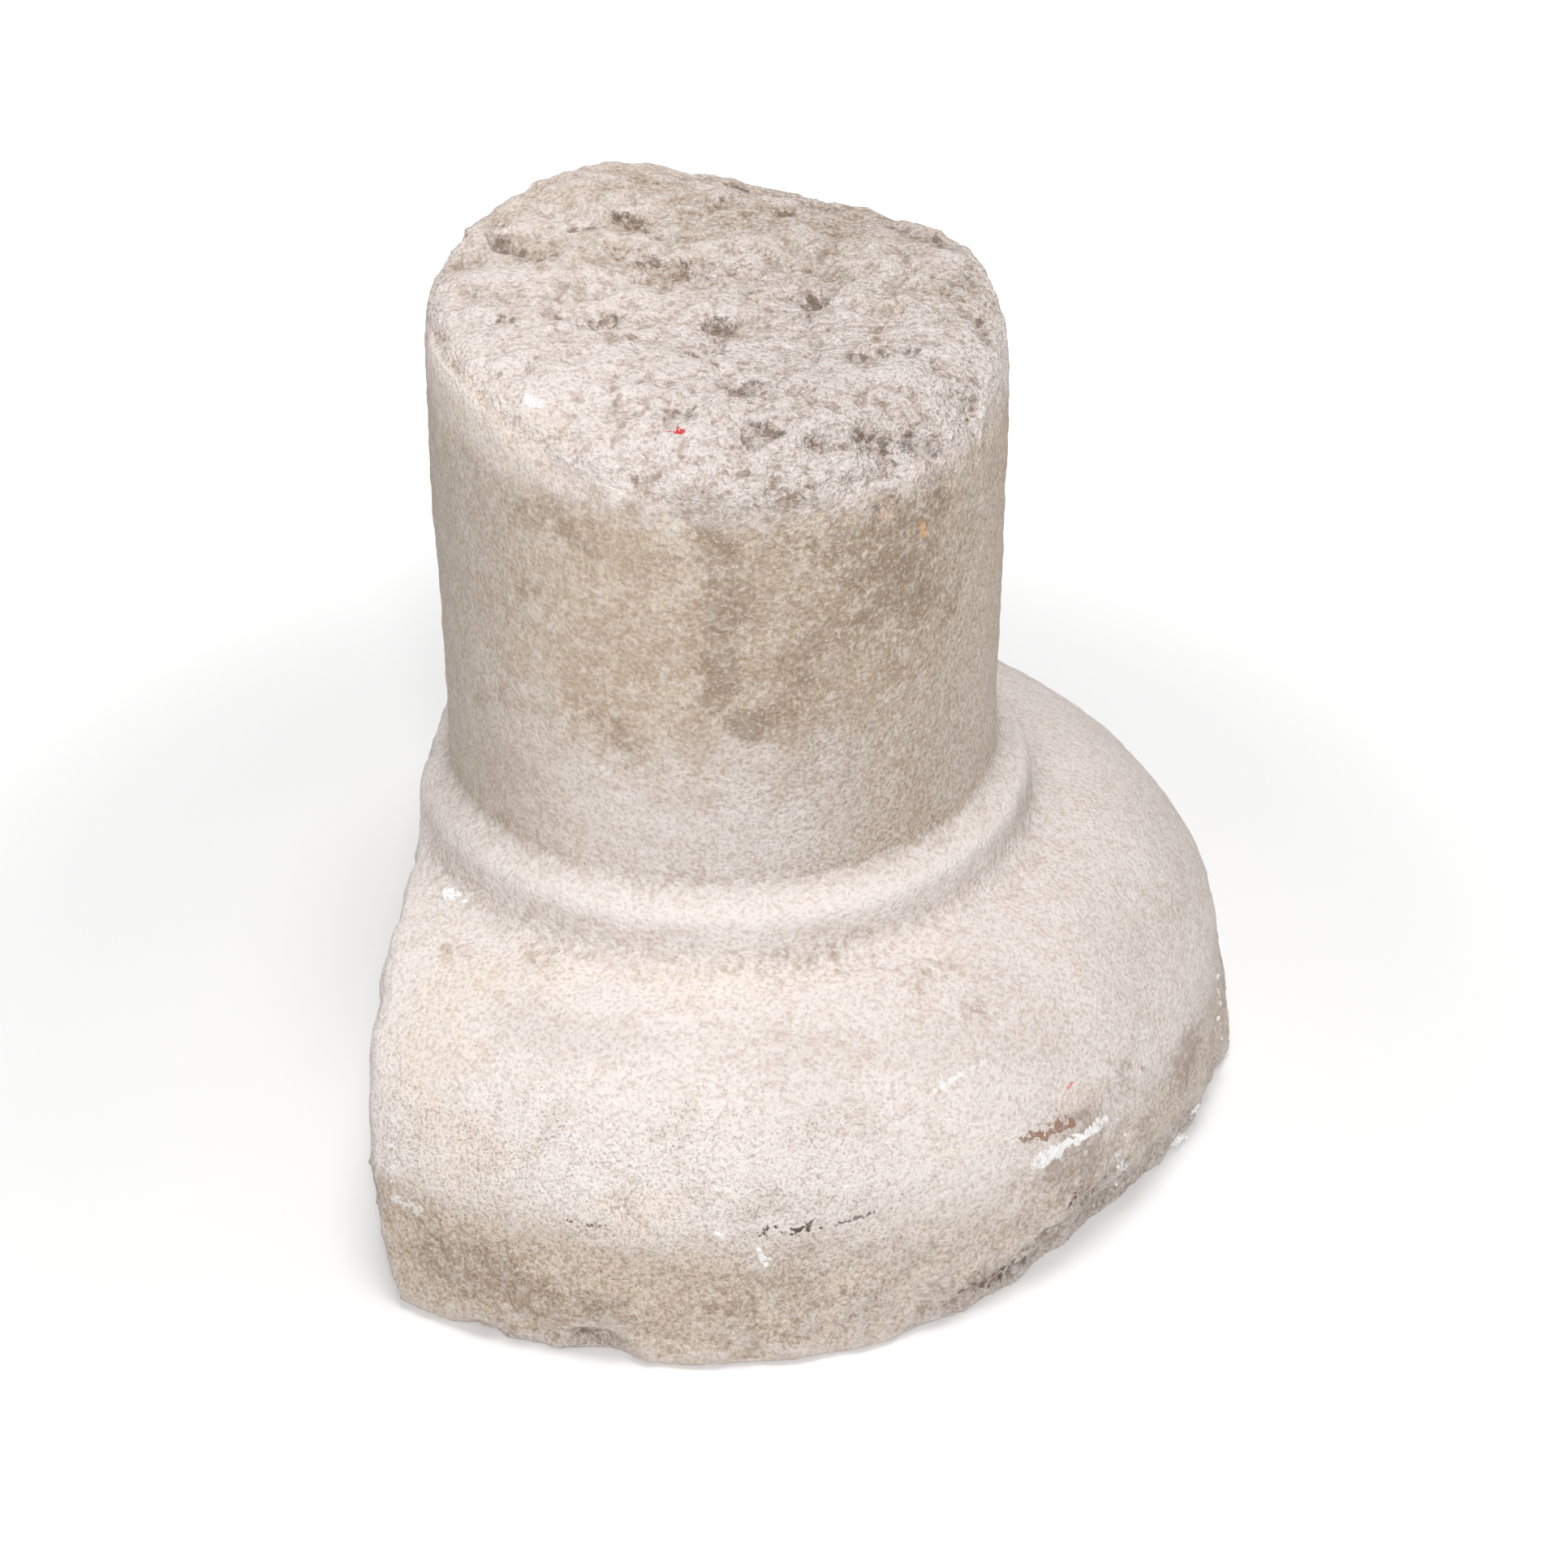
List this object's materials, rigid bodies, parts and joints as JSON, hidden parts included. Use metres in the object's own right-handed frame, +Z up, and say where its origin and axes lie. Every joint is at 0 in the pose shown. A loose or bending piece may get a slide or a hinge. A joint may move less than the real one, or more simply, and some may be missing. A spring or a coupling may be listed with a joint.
{
  "type": "column base",
  "caption": "Round carved stone column base with a cushion moulding, a collar and the broken stump of its shaft; one side is split away.",
  "frame": {"origin": "where the shaft's axis meets the plane of the underside", "axes": "+Z up along the shaft's axis; -X is the side split away; -Y is the front"},
  "size_m": [0.3774, 0.488, 0.3716],
  "materials": {
    "marble": "worn, matt, weathered"
  },
  "bodies": {
    "root": {"column_base": "marble"}
  },
  "joints": []
}
